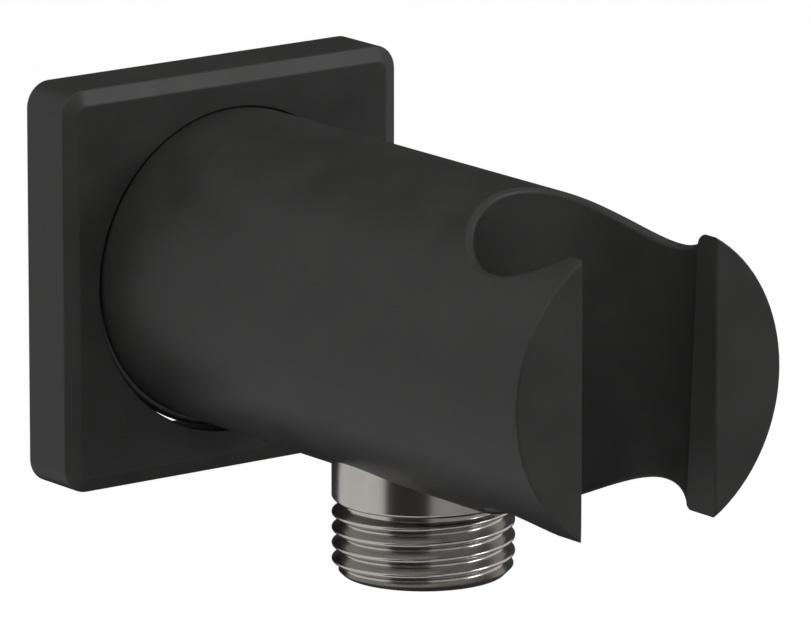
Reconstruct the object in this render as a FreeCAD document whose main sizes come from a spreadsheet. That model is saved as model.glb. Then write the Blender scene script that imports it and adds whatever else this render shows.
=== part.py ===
import FreeCAD, Part
import os
import Sketcher

# Wall outlet elbow with a fork that holds a hand shower, in millimetres.
# X runs right along the wall, +Y into the wall and Z up. The origin is on the axis of the round body, in the
# plane of the wall, which is also the back of the wall plate.

document = FreeCAD.newDocument("wall_outlet_elbow")

# Driving sizes: name, value and meaning
SIZES = [
    ("body_diameter", 37.0, "outside diameter of the round body"),
    ("body_reach", 85.6, "front face of the fork, from the wall"),
    ("body_setback", 1.6, "rear end of the body, from the wall"),
    ("body_edge", 0.35, "radius on the rim of the front face"),
    ("cradle_setback", 11.6, "axis of the conical cradle, from the front face of the fork"),
    ("cradle_diameter", 23.8, "cradle diameter at the height of the body axis"),
    ("cradle_taper", 0.035, "growth of the cradle radius for each millimetre of height"),
    ("cradle_top_lip", 0.75, "radius of the rounded upper rim of the cradle"),
    ("cradle_low_lip", 0.35, "radius of the rounded lower rim of the cradle"),
    ("slot_width", 18.7, "gap between the two arms, where the hose goes in"),
    ("core_wall", 3.0, "wall round the core at the back of the body"),
    ("core_depth", 26.0, "depth of the core, from the rear end of the body"),
    ("boss_wall", 2.6, "wall of the threaded boss in the core"),
    ("way_diameter", 14.0, "water way inside the body"),
    ("way_end_wall", 8.0, "metal between the end of the inlet way and the cradle"),
    ("ring_place", 5.7, "middle of the groove for the plate ring, from the wall"),
    ("ring_section", 1.8, "cord diameter of the plate ring"),
    ("ring_squeeze", 0.55, "how far the plate ring stands out of its groove"),
    ("groove_slack", 0.4, "extra width of a ring groove over its cord"),
    ("plate_margin", 4.45, "from the plate hole to the sides of the square wall plate"),
    ("plate_depth", 7.8, "depth of the wall plate"),
    ("plate_corner", 3.0, "corner radius of the wall plate"),
    ("plate_bevel", 1.8, "width of the bevel round the plate, seen from the front"),
    ("plate_bevel_depth", 0.7, "depth of the same bevel"),
    ("plate_wall", 2.0, "wall of the hollow plate"),
    ("plate_collar_wall", 1.4, "wall of the collar behind the plate hole"),
    ("plate_collar_depth", 2.4, "length of that collar, behind the front wall"),
    ("plate_gap", 0.8, "radial gap between the body and the plate hole"),
    ("plate_drop", 0.55, "how far the plate hangs below the body axis on its ring"),
    ("gasket_width", 2.4, "width of the foam gasket behind the plate"),
    ("gasket_slack", 0.15, "gap between the gasket and the plate walls"),
    ("thread_diameter", 20.955, "major diameter of the half inch pipe thread"),
    ("thread_bevel", 1.15, "lead-in bevel of the thread"),
    ("fit_slack", 0.05, "radial slack of a screwed or plugged joint"),
    ("inlet_length", 14.0, "length of the wall thread beyond the wall"),
    ("inlet_engaged", 12.0, "length of the inlet nipple inside the boss"),
    ("collar_width", 2.8, "width of the collar of the inlet nipple"),
    ("washer_breadth", 2.95, "from the inside to the outside of the washer that the collar bears on"),
    ("washer_thickness", 2.0, "thickness of that washer"),
    ("washer_setback", 0.1, "how far the face of the washer stands back from the wall"),
    ("key_width", 12.0, "width across flats of the hexagon inside the nipples"),
    ("key_depth", 9.0, "depth of the hexagon in the inlet nipple"),
    ("outlet_place", 44.2, "axis of the outlet, from the wall"),
    ("outlet_drop", 29.2, "lower end of the outlet thread, below the body axis"),
    ("neck_drop", 20.5, "lower end of the plain neck, below the body axis"),
    ("neck_bevel", 0.35, "bevel at the lower end of the neck"),
    ("relief_width", 0.7, "width of the run-out groove above the hose thread"),
    ("relief_depth", 1.2, "depth of the run-out grooves"),
    ("outlet_top", 8.0, "upper end of the outlet nipple, below the body axis"),
    ("outlet_way", 15.0, "bore of the outlet nipple, which takes the valve"),
    ("ledge_height", 2.3, "height of the ledge that holds the valve in the nipple"),
    ("nipple_ring_section", 1.6, "cord diameter of the rings on the nipples"),
    ("nipple_ring_setback", 1.2, "nipple end to the edge of its ring groove"),
    ("valve_length", 15.0, "length of the non-return valve housing"),
    ("valve_wall", 1.15, "wall of the valve housing"),
    ("valve_head", 3.6, "height of the head of the housing, down to the seat"),
    ("valve_mouth", 8.8, "diameter of the opening in the seat"),
    ("valve_ring_section", 1.3, "cord diameter of the ring on the housing"),
    ("valve_ring_setback", 1.0, "top of the housing to the edge of its ring groove"),
    ("valve_slack", 0.12, "radial slack of the valve in the nipple"),
    ("poppet_diameter", 10.8, "diameter of the closing disc"),
    ("poppet_thickness", 1.6, "thickness of the closing disc"),
    ("poppet_nose", 1.4, "height of the nose above the disc"),
    ("poppet_travel", 2.2, "travel of the poppet, from shut to its stop on the hub"),
    ("seal_thickness", 0.7, "thickness of the rubber face on the disc"),
    ("seal_inside", 7.6, "inside diameter of the rubber face"),
    ("seat_slack", 0.05, "gap at the seat with the valve shut, and at the hub with it open"),
    ("stem_diameter", 2.6, "diameter of the poppet stem"),
    ("stem_slack", 0.1, "radial slack of the stem in its guide"),
    ("stem_cover", 3.8, "length of stem inside the hub with the valve shut"),
    ("guide_height", 3.4, "height of the rim and spokes of the guide"),
    ("guide_rim", 1.1, "wall of the rim of the guide"),
    ("hub_wall", 1.0, "wall of the hub of the guide"),
    ("spoke_width", 1.2, "width of a spoke of the guide"),
    ("spoke_count", 3.0, "number of spokes"),
    ("spring_wire", 0.5, "wire diameter of the spring"),
    ("spring_diameter", 6.4, "mean diameter of the spring"),
    ("spring_turns", 4.5, "turns of the spring"),
    ("spring_slack", 0.05, "gap at each end of the spring"),
]

sheet = document.addObject("Spreadsheet::Sheet", "Sizes")
for row, (name, number, meaning) in enumerate(SIZES, start=1):
    sheet.set(f"A{row}", meaning)
    sheet.set(f"B{row}", str(number))
    sheet.setAlias(f"B{row}", name)
document.recompute()

FULL_TURN = 360.0
SAME_LENGTH = 1e-4


def size(name):
    """Value of one cell of the sheet."""
    return float(sheet.get(name))


def value(text):
    """Value of an expression over the sheet, as a plain number."""
    result = sheet.evalExpression(text)
    return float(getattr(result, "Value", result))


def origin_plane(body, role):
    """Origin plane of a body, found by its role, such as XZ_Plane."""
    return next(feature for feature in body.Origin.OriginFeatures if feature.Role == role)


def new_body(label):
    """Empty body that becomes one piece of the object."""
    body = document.addObject("PartDesign::Body", label)
    body.Label = label
    return body


def new_sketch(body, name, role, offset):
    """Sketch on an origin plane, moved by expressions for x, y or z in the plane's own directions."""
    sketch = body.newObject("Sketcher::SketchObject", name)
    sketch.AttachmentSupport = (origin_plane(body, role), [""])
    sketch.MapMode = "FlatFace"
    for axis, text in (offset or {}).items():
        sketch.setExpression(f"AttachmentOffset.Base.{axis}", text)
    return sketch


def pin_coordinate(sketch, kind, geometry, point, text):
    """Ties one coordinate of a point to an expression, or lays the point on the axis where it is zero."""
    if text == "0":
        axis = -2 if kind == "DistanceX" else -1
        sketch.addConstraint(Sketcher.Constraint("PointOnObject", geometry, point, axis))
        return
    index = sketch.addConstraint(Sketcher.Constraint(kind, -1, 1, geometry, point, value(text)))
    sketch.setExpression(f"Constraints[{index}]", text)


def add_polygon(sketch, corners):
    """Closed polygon whose corners are pairs of expressions."""
    points = [FreeCAD.Vector(value(across), value(up), 0) for across, up in corners]
    first = sketch.GeometryCount
    count = len(points)
    for index in range(count):
        sketch.addGeometry(Part.LineSegment(points[index], points[(index + 1) % count]), False)
    for index in range(count):
        following = first + (index + 1) % count
        sketch.addConstraint(Sketcher.Constraint("Coincident", first + index, 2, following, 1))
    for index, (across, up) in enumerate(corners):
        pin_coordinate(sketch, "DistanceX", first + index, 1, across)
        pin_coordinate(sketch, "DistanceY", first + index, 1, up)


def add_circle(sketch, radius, across="0", up="0"):
    """Circle whose radius and centre are expressions."""
    centre = FreeCAD.Vector(value(across), value(up), 0)
    circle = sketch.addGeometry(Part.Circle(centre, FreeCAD.Vector(0, 0, 1), value(radius)), False)
    index = sketch.addConstraint(Sketcher.Constraint("Radius", circle, value(radius)))
    sketch.setExpression(f"Constraints[{index}]", radius)
    pin_coordinate(sketch, "DistanceX", circle, 3, across)
    pin_coordinate(sketch, "DistanceY", circle, 3, up)


def add_rectangle(sketch, left, right, low, high):
    """Rectangle between four expressions."""
    add_polygon(sketch, [(left, low), (right, low), (right, high), (left, high)])


def feature(body, kind, name, sketch):
    """Sketch-based feature at the end of a body."""
    made = body.newObject(f"PartDesign::{kind}", name)
    made.Profile = sketch
    sketch.Visibility = False
    return made


def finish_feature(body, made, volume_before):
    """Recomputes and makes sure that the feature changed the volume the right way."""
    document.recompute()
    change = made.Shape.Volume - volume_before
    removes = made.TypeId in ("PartDesign::Pocket", "PartDesign::Groove")
    if (change >= 0) if removes else (change <= 0):
        raise RuntimeError(f"{body.Label}: {made.Name} changed the volume by {change:.3f}")
    return made


def current_volume(body):
    """Volume of a body so far."""
    document.recompute()
    return body.Shape.Volume if body.Tip and not body.Shape.isNull() else 0.0


def extrude(body, kind, name, sketch, length, reverse=False):
    """Pad or Pocket whose length is an expression, or None for all the way through."""
    before = current_volume(body)
    made = feature(body, kind, name, sketch)
    if length is None:
        made.Type = "ThroughAll"
        made.Midplane = True
    else:
        made.setExpression("Length", length)
    made.Reversed = reverse
    return finish_feature(body, made, before)


def turn(body, kind, name, sketch, axis):
    """Revolution or Groove of a full turn about an axis of its sketch."""
    before = current_volume(body)
    made = feature(body, kind, name, sketch)
    made.ReferenceAxis = (sketch, [axis])
    made.Angle = FULL_TURN
    return finish_feature(body, made, before)


def edges_of(shape, wanted):
    """Names of the edges that pass a test."""
    return [f"Edge{number}" for number, edge in enumerate(shape.Edges, start=1) if wanted(edge)]


def round_edges(body, name, radius, wanted):
    """Fillet on the edges of the last feature that pass a test."""
    document.recompute()
    base = body.Tip
    made = body.newObject("PartDesign::Fillet", name)
    made.Base = (base, edges_of(base.Shape, wanted))
    made.setExpression("Radius", radius)
    document.recompute()
    return made


def near(first, second):
    """True where two lengths are the same."""
    return abs(first - second) < SAME_LENGTH


# Expressions that more than one piece uses
BODY_RADIUS = "Sizes.body_diameter / 2"
BODY_END = "Sizes.body_setback"
CRADLE_PLACE = "(Sizes.body_reach - Sizes.cradle_setback)"
COLLAR_WALL = "(Sizes.washer_setback + Sizes.washer_thickness)"
BOSS_FACE = f"({COLLAR_WALL} + Sizes.collar_width)"
THREAD_RADIUS = "Sizes.thread_diameter / 2"
SOCKET_RADIUS = "(Sizes.thread_diameter / 2 + Sizes.fit_slack)"
WAY_RADIUS = "Sizes.way_diameter / 2"
PLATE_HOLE = "(Sizes.body_diameter / 2 + Sizes.plate_gap)"
PLATE_HALF = "(Sizes.body_diameter / 2 + Sizes.plate_gap + Sizes.plate_margin)"
PLATE_INSIDE = "(Sizes.body_diameter / 2 + Sizes.plate_gap + Sizes.plate_margin - Sizes.plate_wall)"
COLLAR_RADIUS = "(Sizes.thread_diameter / 2 + Sizes.fit_slack + Sizes.washer_breadth)"
RING_FLOOR = "(Sizes.body_diameter / 2 + Sizes.ring_squeeze - Sizes.ring_section)"
RING_GROOVE_HALF = "(Sizes.ring_section + Sizes.groove_slack) / 2"
NIPPLE_RING_GROOVE = "(Sizes.nipple_ring_section + Sizes.groove_slack)"
NIPPLE_RING_FLOOR = "(Sizes.thread_diameter / 2 + Sizes.fit_slack - Sizes.nipple_ring_section)"
LEDGE_TOP = "(Sizes.outlet_drop - Sizes.ledge_height)"
VALVE_TOP = "(Sizes.outlet_drop - Sizes.ledge_height - Sizes.valve_length)"
VALVE_RADIUS = "(Sizes.outlet_way / 2 - Sizes.valve_slack)"
CHAMBER_RADIUS = "(Sizes.outlet_way / 2 - Sizes.valve_slack - Sizes.valve_wall)"
SEAT = f"({VALVE_TOP} + Sizes.valve_head)"
DISC_TOP = f"({SEAT} + Sizes.seat_slack)"
DISC_BOTTOM = f"({DISC_TOP} + Sizes.seal_thickness + Sizes.poppet_thickness)"
GUIDE_TOP = f"({LEDGE_TOP} - Sizes.guide_height)"
HUB_TOP = f"({DISC_BOTTOM} + Sizes.poppet_travel + Sizes.seat_slack)"
STEM_END = f"({HUB_TOP} + Sizes.stem_cover)"
HUB_HOLE = "(Sizes.stem_diameter / 2 + Sizes.stem_slack)"


def cradle_radius(height):
    """Expression for the radius of the cradle at a height over the body axis."""
    return f"Sizes.cradle_diameter / 2 + Sizes.cradle_taper * ({height})"


def make_holder_body():
    """Round body: conical cradle with rounded rims and a front slot, water ways, core and ring groove."""
    body = new_body("holder_body")
    blank = new_sketch(body, "blank_outline", "XZ_Plane", {"z": BODY_END})
    add_circle(blank, BODY_RADIUS)
    extrude(body, "Pad", "blank", blank, "Sizes.body_reach - Sizes.body_setback")

    cradle = new_sketch(body, "cradle_profile", "YZ_Plane", {"x": f"-{CRADLE_PLACE}"})
    top = "Sizes.body_diameter"
    add_polygon(cradle, [("0", f"-{top}"), (cradle_radius(f"-{top}"), f"-{top}"), (cradle_radius(top), top),
                         ("0", top)])
    turn(body, "Groove", "cradle", cradle, "V_Axis")

    slot = new_sketch(body, "slot_outline", "XZ_Plane", {"z": "Sizes.body_reach"})
    add_rectangle(slot, "-Sizes.slot_width / 2", "Sizes.slot_width / 2", f"-{top}", top)
    extrude(body, "Pocket", "slot", slot, "Sizes.cradle_setback")

    def rim(edge):
        return edge.Curve.TypeId == "Part::GeomBSplineCurve" and edge.BoundBox.YMax > -value(CRADLE_PLACE)
    round_edges(body, "top_rim", "Sizes.cradle_top_lip", lambda edge: rim(edge) and edge.BoundBox.ZMin > 0)
    round_edges(body, "low_rim", "Sizes.cradle_low_lip", lambda edge: rim(edge) and edge.BoundBox.ZMax < 0)

    front = -size("body_reach")

    def front_rim(edge):
        box = edge.BoundBox
        return near(box.YMin, front) and near(box.YMax, front) and edge.Curve.TypeId == "Part::GeomCircle"
    round_edges(body, "front_rim", "Sizes.body_edge", front_rim)

    groove = new_sketch(body, "ring_groove_profile", "YZ_Plane", None)
    groove_rear = f"-Sizes.ring_place + {RING_GROOVE_HALF}"
    groove_front = f"-Sizes.ring_place - {RING_GROOVE_HALF}"
    add_rectangle(groove, groove_front, groove_rear, RING_FLOOR, "Sizes.body_diameter")
    turn(body, "Groove", "ring_groove", groove, "H_Axis")

    core = new_sketch(body, "core_profile", "YZ_Plane", None)
    core_outer = f"{BODY_RADIUS} - Sizes.core_wall"
    boss_outer = f"{SOCKET_RADIUS} + Sizes.boss_wall"
    core_floor = f"-{BODY_END} - Sizes.core_depth"
    add_polygon(core, [("0", "0"), ("0", core_outer), (core_floor, core_outer), (core_floor, boss_outer),
                       (f"-{BOSS_FACE}", boss_outer), (f"-{BOSS_FACE}", "0")])
    turn(body, "Groove", "core", core, "H_Axis")

    inlet = new_sketch(body, "inlet_profile", "YZ_Plane", None)
    socket_floor = f"-{BOSS_FACE} - Sizes.inlet_engaged - Sizes.fit_slack"
    way_end = f"-{CRADLE_PLACE} + Sizes.cradle_diameter / 2 + Sizes.way_end_wall"
    add_polygon(inlet, [("0", "0"), ("0", SOCKET_RADIUS), (socket_floor, SOCKET_RADIUS),
                        (socket_floor, WAY_RADIUS), (f"{way_end} + {WAY_RADIUS} / 2", WAY_RADIUS),
                        (way_end, "0")])
    turn(body, "Groove", "inlet", inlet, "H_Axis")

    outlet = new_sketch(body, "outlet_profile", "YZ_Plane", {"x": "-Sizes.outlet_place"})
    socket_top = "-Sizes.outlet_top + Sizes.fit_slack"
    add_polygon(outlet, [("0", "-Sizes.body_diameter"), (SOCKET_RADIUS, "-Sizes.body_diameter"),
                         (SOCKET_RADIUS, socket_top), (WAY_RADIUS, socket_top), (WAY_RADIUS, "0"),
                         ("0", f"{WAY_RADIUS} / 2")])
    turn(body, "Groove", "outlet", outlet, "V_Axis")
    return body


def make_wall_plate():
    """Hollow square plate with a bevelled front, rounded corners and a collared hole for the body."""
    body = new_body("wall_plate")
    body.setExpression("Placement.Base.z", "-Sizes.plate_drop")
    outline = new_sketch(body, "plate_outline", "XZ_Plane", None)
    add_rectangle(outline, f"-{PLATE_HALF}", PLATE_HALF, f"-{PLATE_HALF}", PLATE_HALF)
    extrude(body, "Pad", "block", outline, "Sizes.plate_depth")

    def corner(edge):
        return near(edge.BoundBox.YLength, size("plate_depth"))
    round_edges(body, "corners", "Sizes.plate_corner", corner)

    document.recompute()
    base = body.Tip
    front = -size("plate_depth")
    bevel = body.newObject("PartDesign::Chamfer", "bevel")
    bevel.Base = (base, edges_of(base.Shape, lambda edge: near(edge.BoundBox.YMax, front)))
    bevel.ChamferType = "Two distances"
    bevel.setExpression("Size", "Sizes.plate_bevel")
    bevel.setExpression("Size2", "Sizes.plate_bevel_depth")
    document.recompute()

    hollow = new_sketch(body, "hollow_outline", "XZ_Plane", None)
    add_rectangle(hollow, f"-{PLATE_INSIDE}", PLATE_INSIDE, f"-{PLATE_INSIDE}", PLATE_INSIDE)
    extrude(body, "Pocket", "hollow", hollow, "Sizes.plate_depth - Sizes.plate_wall", reverse=True)

    def inner_corner(edge):
        box = edge.BoundBox
        deep = near(box.YLength, size("plate_depth") - size("plate_wall"))
        return deep and near(abs(edge.Vertexes[0].X), value(PLATE_INSIDE))
    round_edges(body, "inner_corners", "Sizes.plate_corner - Sizes.plate_wall", inner_corner)

    collar = new_sketch(body, "collar_outline", "XZ_Plane", {"z": "Sizes.plate_depth - Sizes.plate_wall"})
    add_circle(collar, f"{PLATE_HOLE} + Sizes.plate_collar_wall")
    extrude(body, "Pad", "collar", collar, "Sizes.plate_collar_depth", reverse=True)

    hole = new_sketch(body, "hole_outline", "XZ_Plane", None)
    add_circle(hole, PLATE_HOLE)
    extrude(body, "Pocket", "hole", hole, None)
    return body


def make_wall_gasket():
    """Foam gasket inside the rim of the plate, between the wall and the collar."""
    body = new_body("wall_gasket")
    body.setExpression("Placement.Base.z", "-Sizes.plate_drop")
    outline = new_sketch(body, "gasket_outline", "XZ_Plane", None)
    outer = f"({PLATE_INSIDE} - Sizes.gasket_slack)"
    inner = f"({PLATE_INSIDE} - Sizes.gasket_slack - Sizes.gasket_width)"
    add_rectangle(outline, f"-{outer}", outer, f"-{outer}", outer)
    add_rectangle(outline, f"-{inner}", inner, f"-{inner}", inner)
    thickness = "Sizes.plate_depth - Sizes.plate_wall - Sizes.plate_collar_depth - Sizes.gasket_slack"
    extrude(body, "Pad", "gasket", outline, thickness)

    def outer_corner(edge):
        return near(edge.BoundBox.YLength, value(thickness)) and near(abs(edge.Vertexes[0].X), value(outer))
    round_edges(body, "gasket_corners", "Sizes.plate_corner - Sizes.plate_wall", outer_corner)
    return body


def make_plate_ring():
    """Rubber ring in the body's groove, on which the plate hangs. The plate flattens it where it bears."""
    cord = document.addObject("Part::Torus", "plate_ring_cord")
    cord.setExpression("Radius1", f"{RING_FLOOR} + Sizes.ring_section / 2")
    cord.setExpression("Radius2", "Sizes.ring_section / 2")
    cord.Placement = FreeCAD.Placement(FreeCAD.Vector(), FreeCAD.Rotation(FreeCAD.Vector(1, 0, 0), 90))
    cord.setExpression("Placement.Base.y", "-Sizes.ring_place")
    limit = document.addObject("Part::Cylinder", "plate_ring_limit")
    limit.setExpression("Radius", PLATE_HOLE)
    limit.setExpression("Height", "Sizes.ring_section * 2")
    limit.Placement = FreeCAD.Placement(FreeCAD.Vector(), FreeCAD.Rotation(FreeCAD.Vector(1, 0, 0), 90))
    limit.setExpression("Placement.Base.y", "-Sizes.ring_place + Sizes.ring_section")
    limit.setExpression("Placement.Base.z", "-Sizes.plate_drop")
    ring = document.addObject("Part::Common", "plate_ring")
    ring.Base = cord
    ring.Tool = limit
    return ring


def make_ring(label, middle_radius, section, place, upright):
    """Plain rubber ring, about the body axis or, where upright, about the outlet axis."""
    ring = document.addObject("Part::Torus", label)
    ring.setExpression("Radius1", middle_radius)
    ring.setExpression("Radius2", f"({section}) / 2")
    if upright:
        ring.setExpression("Placement.Base.y", "-Sizes.outlet_place")
        ring.setExpression("Placement.Base.z", place)
    else:
        ring.Placement = FreeCAD.Placement(FreeCAD.Vector(), FreeCAD.Rotation(FreeCAD.Vector(1, 0, 0), 90))
        ring.setExpression("Placement.Base.y", place)
    return ring


def add_hexagon(sketch):
    """Hexagon of the key width, with two flats square to the sketch's first axis."""
    side = "Sizes.key_width / 2"
    low = "Sizes.key_width / (2 * sqrt(3))"
    tip = "Sizes.key_width / sqrt(3)"
    add_polygon(sketch, [(side, low), ("0", tip), (f"-{side}", low), (f"-{side}", f"-{low}"),
                         ("0", f"-{tip}"), (side, f"-{low}")])


def make_inlet_nipple():
    """Turned nipple: wall thread, run-out groove, collar, end in the boss with a ring groove, and hexagon."""
    body = new_body("inlet_nipple")
    profile = new_sketch(body, "nipple_profile", "YZ_Plane", None)
    bore = "(Sizes.key_width / 2 - Sizes.fit_slack)"
    relief = f"({THREAD_RADIUS} - Sizes.relief_depth)"
    inner_end = f"(-{BOSS_FACE} - Sizes.inlet_engaged)"
    groove_end = f"({inner_end} + Sizes.nipple_ring_setback)"
    groove_start = f"({groove_end} + {NIPPLE_RING_GROOVE})"
    add_polygon(profile, [
        ("Sizes.inlet_length", bore), ("Sizes.inlet_length", f"{THREAD_RADIUS} - Sizes.thread_bevel"),
        ("Sizes.inlet_length - Sizes.thread_bevel", THREAD_RADIUS), ("0", THREAD_RADIUS), ("0", relief),
        (f"-{COLLAR_WALL}", relief), (f"-{COLLAR_WALL}", COLLAR_RADIUS), (f"-{BOSS_FACE}", COLLAR_RADIUS),
        (f"-{BOSS_FACE}", THREAD_RADIUS), (groove_start, THREAD_RADIUS), (groove_start, NIPPLE_RING_FLOOR),
        (groove_end, NIPPLE_RING_FLOOR), (groove_end, THREAD_RADIUS), (inner_end, THREAD_RADIUS),
        (inner_end, bore)])
    turn(body, "Revolution", "turned", profile, "H_Axis")
    key = new_sketch(body, "key_outline", "XZ_Plane", {"z": "-Sizes.inlet_length"})
    add_hexagon(key)
    extrude(body, "Pocket", "key", key, "Sizes.key_depth", reverse=True)
    return body


def make_inlet_washer():
    """Flat sealing washer between the collar and the pipe in the wall."""
    body = new_body("inlet_washer")
    outline = new_sketch(body, "washer_outline", "XZ_Plane", {"z": COLLAR_WALL})
    add_circle(outline, COLLAR_RADIUS)
    add_circle(outline, SOCKET_RADIUS)
    extrude(body, "Pad", "washer", outline, "Sizes.washer_thickness", reverse=True)
    return body


def make_outlet_nipple():
    """Turned nipple: hose thread, run-out groove, neck, end with a ring groove, valve bore and ledge."""
    body = new_body("outlet_nipple")
    profile = new_sketch(body, "nipple_profile", "YZ_Plane", {"x": "-Sizes.outlet_place"})
    bore = "Sizes.outlet_way / 2"
    ledge = "(Sizes.key_width / 2 - Sizes.fit_slack)"
    relief = f"({THREAD_RADIUS} - Sizes.relief_depth)"
    relief_low = "(-Sizes.neck_drop - Sizes.relief_width)"
    groove_top = "(-Sizes.outlet_top - Sizes.nipple_ring_setback)"
    groove_low = f"({groove_top} - {NIPPLE_RING_GROOVE})"
    add_polygon(profile, [
        (ledge, "-Sizes.outlet_drop"), (f"{THREAD_RADIUS} - Sizes.thread_bevel", "-Sizes.outlet_drop"),
        (THREAD_RADIUS, "-Sizes.outlet_drop + Sizes.thread_bevel"), (THREAD_RADIUS, relief_low),
        (relief, relief_low), (relief, "-Sizes.neck_drop"),
        (f"{THREAD_RADIUS} - Sizes.neck_bevel", "-Sizes.neck_drop"),
        (THREAD_RADIUS, "-Sizes.neck_drop + Sizes.neck_bevel"), (THREAD_RADIUS, groove_low),
        (NIPPLE_RING_FLOOR, groove_low), (NIPPLE_RING_FLOOR, groove_top), (THREAD_RADIUS, groove_top),
        (THREAD_RADIUS, "-Sizes.outlet_top"), (bore, "-Sizes.outlet_top"), (bore, f"-{LEDGE_TOP}"),
        (ledge, f"-{LEDGE_TOP}")])
    turn(body, "Revolution", "turned", profile, "V_Axis")
    at_foot = {"y": "-Sizes.outlet_place", "z": "-Sizes.outlet_drop"}
    key = new_sketch(body, "key_outline", "XY_Plane", at_foot)
    add_hexagon(key)
    extrude(body, "Pocket", "key", key, "Sizes.ledge_height", reverse=True)
    return body


def make_valve_housing():
    """Moulded housing of the non-return valve: ring groove, seat and open chamber."""
    body = new_body("valve_housing")
    profile = new_sketch(body, "housing_profile", "YZ_Plane", {"x": "-Sizes.outlet_place"})
    ring_floor = "(Sizes.outlet_way / 2 - Sizes.valve_ring_section)"
    groove_top = f"(-{VALVE_TOP} - Sizes.valve_ring_setback)"
    groove_low = f"({groove_top} - Sizes.valve_ring_section - Sizes.groove_slack)"
    add_polygon(profile, [
        ("Sizes.valve_mouth / 2", f"-{VALVE_TOP}"), (VALVE_RADIUS, f"-{VALVE_TOP}"),
        (VALVE_RADIUS, groove_top), (ring_floor, groove_top), (ring_floor, groove_low),
        (VALVE_RADIUS, groove_low),
        (VALVE_RADIUS, f"-{LEDGE_TOP}"), (CHAMBER_RADIUS, f"-{LEDGE_TOP}"), (CHAMBER_RADIUS, f"-{SEAT}"),
        ("Sizes.valve_mouth / 2", f"-{SEAT}")])
    turn(body, "Revolution", "housing", profile, "V_Axis")
    return body


def make_poppet():
    """Closing piece of the valve: nose, disc with a step for its rubber face, and guide stem."""
    body = new_body("valve_poppet")
    profile = new_sketch(body, "poppet_profile", "YZ_Plane", {"x": "-Sizes.outlet_place"})
    face = f"-{DISC_TOP}"
    step = f"(-{DISC_TOP} - Sizes.seal_thickness)"
    stem = "Sizes.stem_diameter / 2"
    add_polygon(profile, [
        ("0", f"{face} + Sizes.poppet_nose"), ("Sizes.seal_inside / 4", f"{face} + Sizes.poppet_nose"),
        ("Sizes.seal_inside / 2", face), ("Sizes.seal_inside / 2", step),
        ("Sizes.poppet_diameter / 2", step), ("Sizes.poppet_diameter / 2", f"-{DISC_BOTTOM}"),
        (stem, f"-{DISC_BOTTOM}"), (stem, f"-{STEM_END}"), ("0", f"-{STEM_END}")])
    turn(body, "Revolution", "poppet", profile, "V_Axis")
    return body


def make_poppet_seal():
    """Rubber face that closes on the seat."""
    body = new_body("poppet_seal")
    at_disc = {"y": "-Sizes.outlet_place", "z": f"-{DISC_TOP}"}
    outline = new_sketch(body, "seal_outline", "XY_Plane", at_disc)
    add_circle(outline, "Sizes.poppet_diameter / 2")
    add_circle(outline, "Sizes.seal_inside / 2")
    extrude(body, "Pad", "seal", outline, "Sizes.seal_thickness", reverse=True)
    return body


def make_valve_guide():
    """Guide in the foot of the housing: tall hub for the stem, spokes that carry the spring, and rim."""
    body = new_body("valve_guide")
    at_foot = {"y": "-Sizes.outlet_place", "z": f"-{LEDGE_TOP}"}
    hub_radius = f"({HUB_HOLE} + Sizes.hub_wall)"
    rim_radius = f"({CHAMBER_RADIUS} - Sizes.fit_slack)"
    hub = new_sketch(body, "hub_outline", "XY_Plane", at_foot)
    add_circle(hub, hub_radius)
    add_circle(hub, HUB_HOLE)
    extrude(body, "Pad", "hub", hub, f"{LEDGE_TOP} - {HUB_TOP}")

    outline = new_sketch(body, "spoke_outline", "XY_Plane", at_foot)
    half_spoke = "Sizes.spoke_width / 2"
    add_rectangle(outline, f"{hub_radius} - Sizes.hub_wall / 2", f"{rim_radius} - Sizes.guide_rim / 2",
                  f"-{half_spoke}", half_spoke)
    spoke = extrude(body, "Pad", "spoke", outline, "Sizes.guide_height")
    spokes = body.newObject("PartDesign::PolarPattern", "spokes")
    spokes.Originals = [spoke]
    spokes.Axis = (outline, ["N_Axis"])
    spokes.Angle = FULL_TURN
    spokes.setExpression("Occurrences", "Sizes.spoke_count")
    body.Tip = spokes
    document.recompute()

    rim = new_sketch(body, "rim_outline", "XY_Plane", at_foot)
    add_circle(rim, rim_radius)
    add_circle(rim, f"{rim_radius} - Sizes.guide_rim")
    extrude(body, "Pad", "rim", rim, "Sizes.guide_height")
    return body


def make_valve_spring():
    """Coil spring between the spokes of the guide and the closing disc."""
    body = new_body("valve_spring")
    wire = new_sketch(body, "wire_outline", "YZ_Plane", {"x": "-Sizes.outlet_place"})
    low = f"(-{GUIDE_TOP} + Sizes.spring_slack + Sizes.spring_wire / 2)"
    high = f"(-{DISC_BOTTOM} - Sizes.spring_slack - Sizes.spring_wire / 2)"
    add_circle(wire, "Sizes.spring_wire / 2", "Sizes.spring_diameter / 2", low)
    coil = body.newObject("PartDesign::AdditiveHelix", "coil")
    coil.Profile = wire
    coil.ReferenceAxis = (wire, ["V_Axis"])
    coil.Mode = "height-turns-angle"
    coil.setExpression("Height", f"{high} - {low}")
    coil.setExpression("Turns", "Sizes.spring_turns")
    wire.Visibility = False
    document.recompute()
    return body


def check_document():
    """Stops where an object failed to compute."""
    document.recompute()
    for item in document.Objects:
        if "Invalid" in item.State or "Error" in item.State:
            raise RuntimeError(f"{item.Name} failed: {item.State}")


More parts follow.
